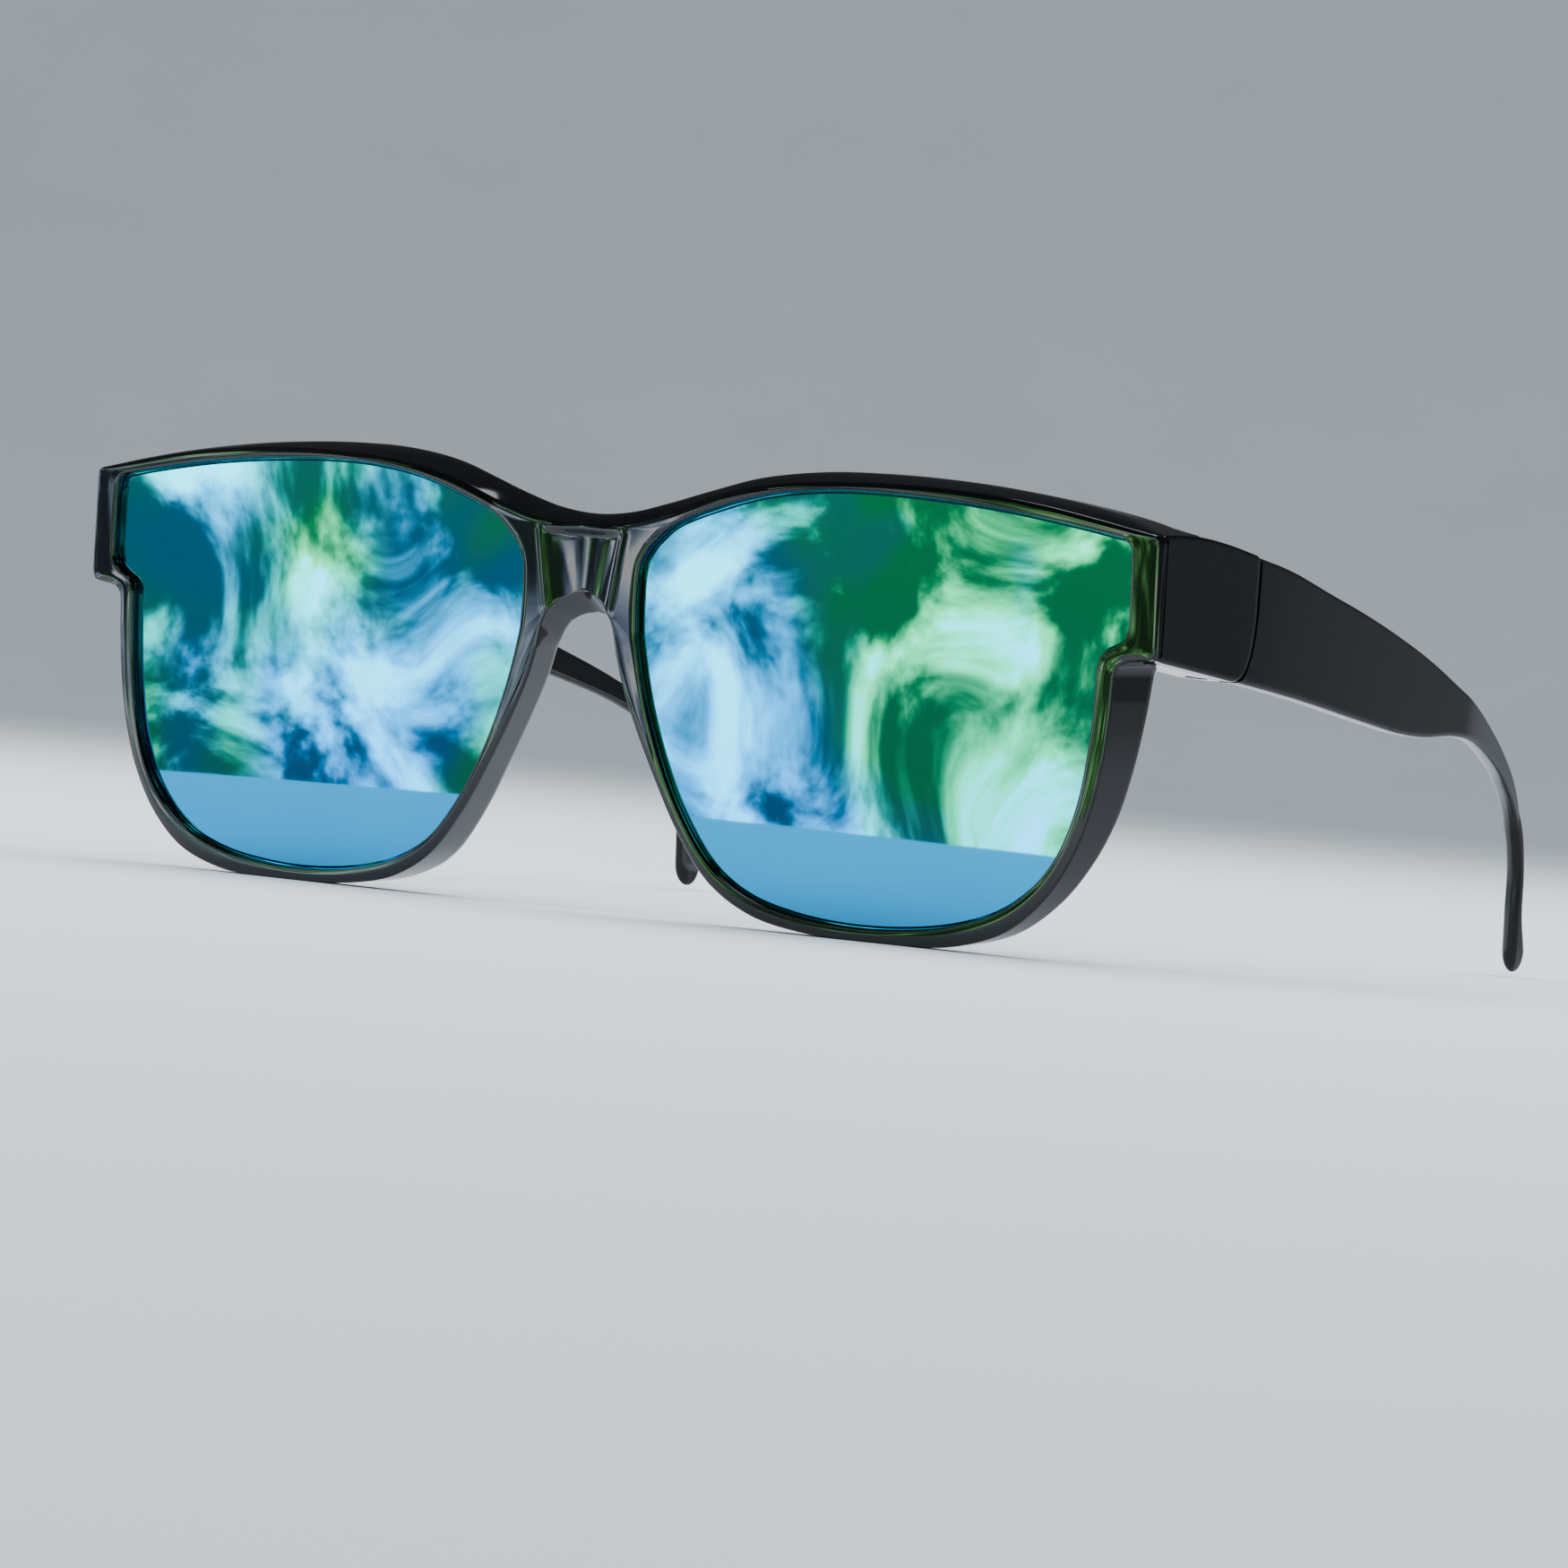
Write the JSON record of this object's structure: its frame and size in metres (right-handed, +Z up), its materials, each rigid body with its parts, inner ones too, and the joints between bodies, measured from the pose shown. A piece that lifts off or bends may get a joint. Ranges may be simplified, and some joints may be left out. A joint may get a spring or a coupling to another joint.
{
  "type": "fit-over sunglasses",
  "caption": "Wrap-round sunglasses with mirrored lenses and folding temples, worn over prescription glasses.",
  "frame": {"origin": "on the table under the middle of the pair as it stands open on its rim bottoms and ear tips", "axes": "+Z up; the lenses face -Y and the temples run back along +Y; +X is the wearer's left, across the symmetry plane"},
  "size_m": [0.1472, 0.1198, 0.0516],
  "materials": {
    "frame": "polished injection-moulded nylon",
    "temple": "satin-gloss moulded nylon",
    "lens": "blue-green mirror coating on dark polarised plastic",
    "screw": "turned steel",
    "insert": "turned brass",
    "washer": "natural nylon"
  },
  "bodies": {
    "front": {"front_frame": "frame", "lens_left": "lens", "lens_right": "lens", "hinge_screw_left": "screw", "hinge_screw_right": "screw", "insert_left": "insert", "insert_right": "insert", "washer_lower_left": "washer", "washer_lower_right": "washer", "washer_upper_left": "washer", "washer_upper_right": "washer"},
    "temple_left": {"temple_left": "temple"},
    "temple_right": {"temple_right": "temple"}
  },
  "joints": [
    {"name": "temple_left_fold", "type": "hinge", "parent": "front", "child": "temple_left", "pos_m": [0.0699, -0.04048, 0.03194], "axis": [0, 0.0741, 0.9973], "range_deg": [0, 90]},
    {"name": "temple_right_fold", "type": "hinge", "parent": "front", "child": "temple_right", "pos_m": [-0.0699, -0.04048, 0.03194], "axis": [0, -0.0741, -0.9973], "range_deg": [0, 80]}
  ]
}
